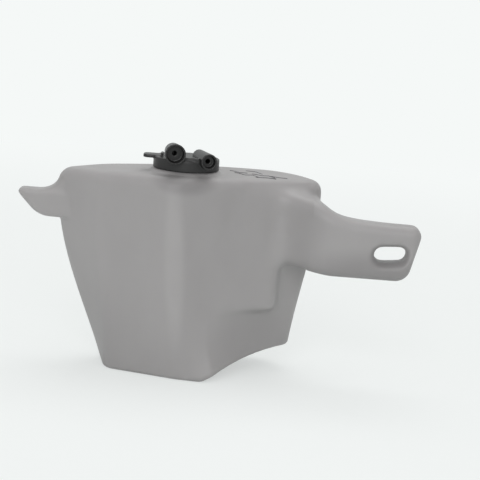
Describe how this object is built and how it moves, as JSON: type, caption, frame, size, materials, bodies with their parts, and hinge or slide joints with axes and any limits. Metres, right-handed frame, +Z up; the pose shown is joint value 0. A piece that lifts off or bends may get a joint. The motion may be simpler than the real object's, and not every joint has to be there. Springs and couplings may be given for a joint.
{
  "type": "coolant reservoir",
  "caption": "Hollow coolant expansion reservoir with a raised front panel, a slotted mounting arm, a side ear and a lift-off cap with hose sockets and a pickup tube.",
  "frame": {"origin": "on the plane that the tank stands on, under the middle of the part's box", "axes": "+X from the ear on the left to the mounting arm on the right, +Y from the front panel to the back, +Z up"},
  "size_m": [0.3188, 0.0957, 0.1858],
  "materials": {
    "tank_polyethylene": "milky natural polyethylene, satin from the blow mould",
    "cap_polypropylene": "black moulded polypropylene, semi-matt",
    "seal_rubber": "matt black rubber",
    "tube_polyethylene": "natural extruded polyethylene, satin"
  },
  "bodies": {
    "tank": {"reservoir_tank": "tank_polyethylene"},
    "cap": {"filler_cap": "cap_polypropylene", "cap_seal": "seal_rubber", "pickup_tube": "tube_polyethylene"}
  },
  "joints": [
    {"name": "cap_lift", "type": "slide", "parent": "tank", "child": "cap", "axis": [0, 0, 1], "range_m": [0, 0.165]}
  ]
}
